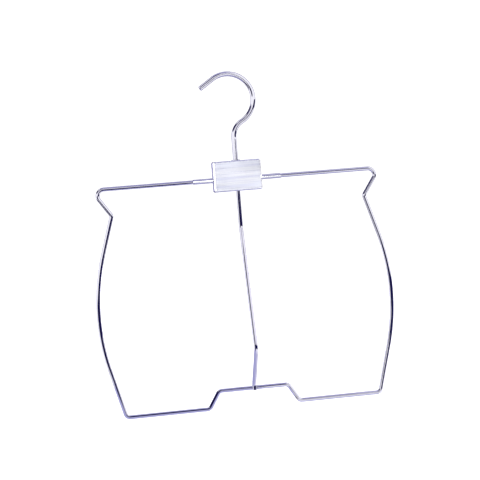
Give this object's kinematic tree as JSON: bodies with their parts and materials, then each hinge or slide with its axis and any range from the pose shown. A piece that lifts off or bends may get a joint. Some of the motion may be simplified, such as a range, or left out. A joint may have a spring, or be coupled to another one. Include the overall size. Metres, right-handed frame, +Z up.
{
  "type": "wire body-form garment hanger",
  "caption": "Chromed wire body-form hanger with a swivelling hook, an aluminium block, a waist-notched hip outline with a crotch step, and a wire bowed forward down the middle.",
  "frame": {"origin": "the inner top of the hook on the swivel axis, where it rests on the rail", "axes": "+Z up along the swivel axis, +X across the hanger to the right seen from the front, front faces -Y"},
  "size_m": [0.3028, 0.037, 0.3367],
  "materials": {
    "hook_chrome": "polished",
    "sleeve_chrome": "polished",
    "frame_chrome": "polished",
    "weld_metal": "plated weld, slightly dull",
    "block_aluminium": "brushed along its length",
    "bush_metal": "plated, satin",
    "screw_steel": "dark"
  },
  "bodies": {
    "hook": {"hook": "hook_chrome"},
    "hanger": {"block": "block_aluminium", "swivel_bush": "bush_metal", "left_sleeve": "sleeve_chrome", "right_sleeve": "sleeve_chrome", "left_frame_wire": "frame_chrome", "right_frame_wire": "frame_chrome", "centre_wire": "frame_chrome", "foot_weld": "weld_metal", "joint_weld": "weld_metal", "clamp_screws": "screw_steel", "dog_screw": "screw_steel"}
  },
  "joints": [
    {"name": "hook_swivel", "type": "hinge", "parent": "hook", "child": "hanger", "pos_m": [0, 0, -0.08398], "axis": [0, 0, 1], "continuous": true}
  ]
}
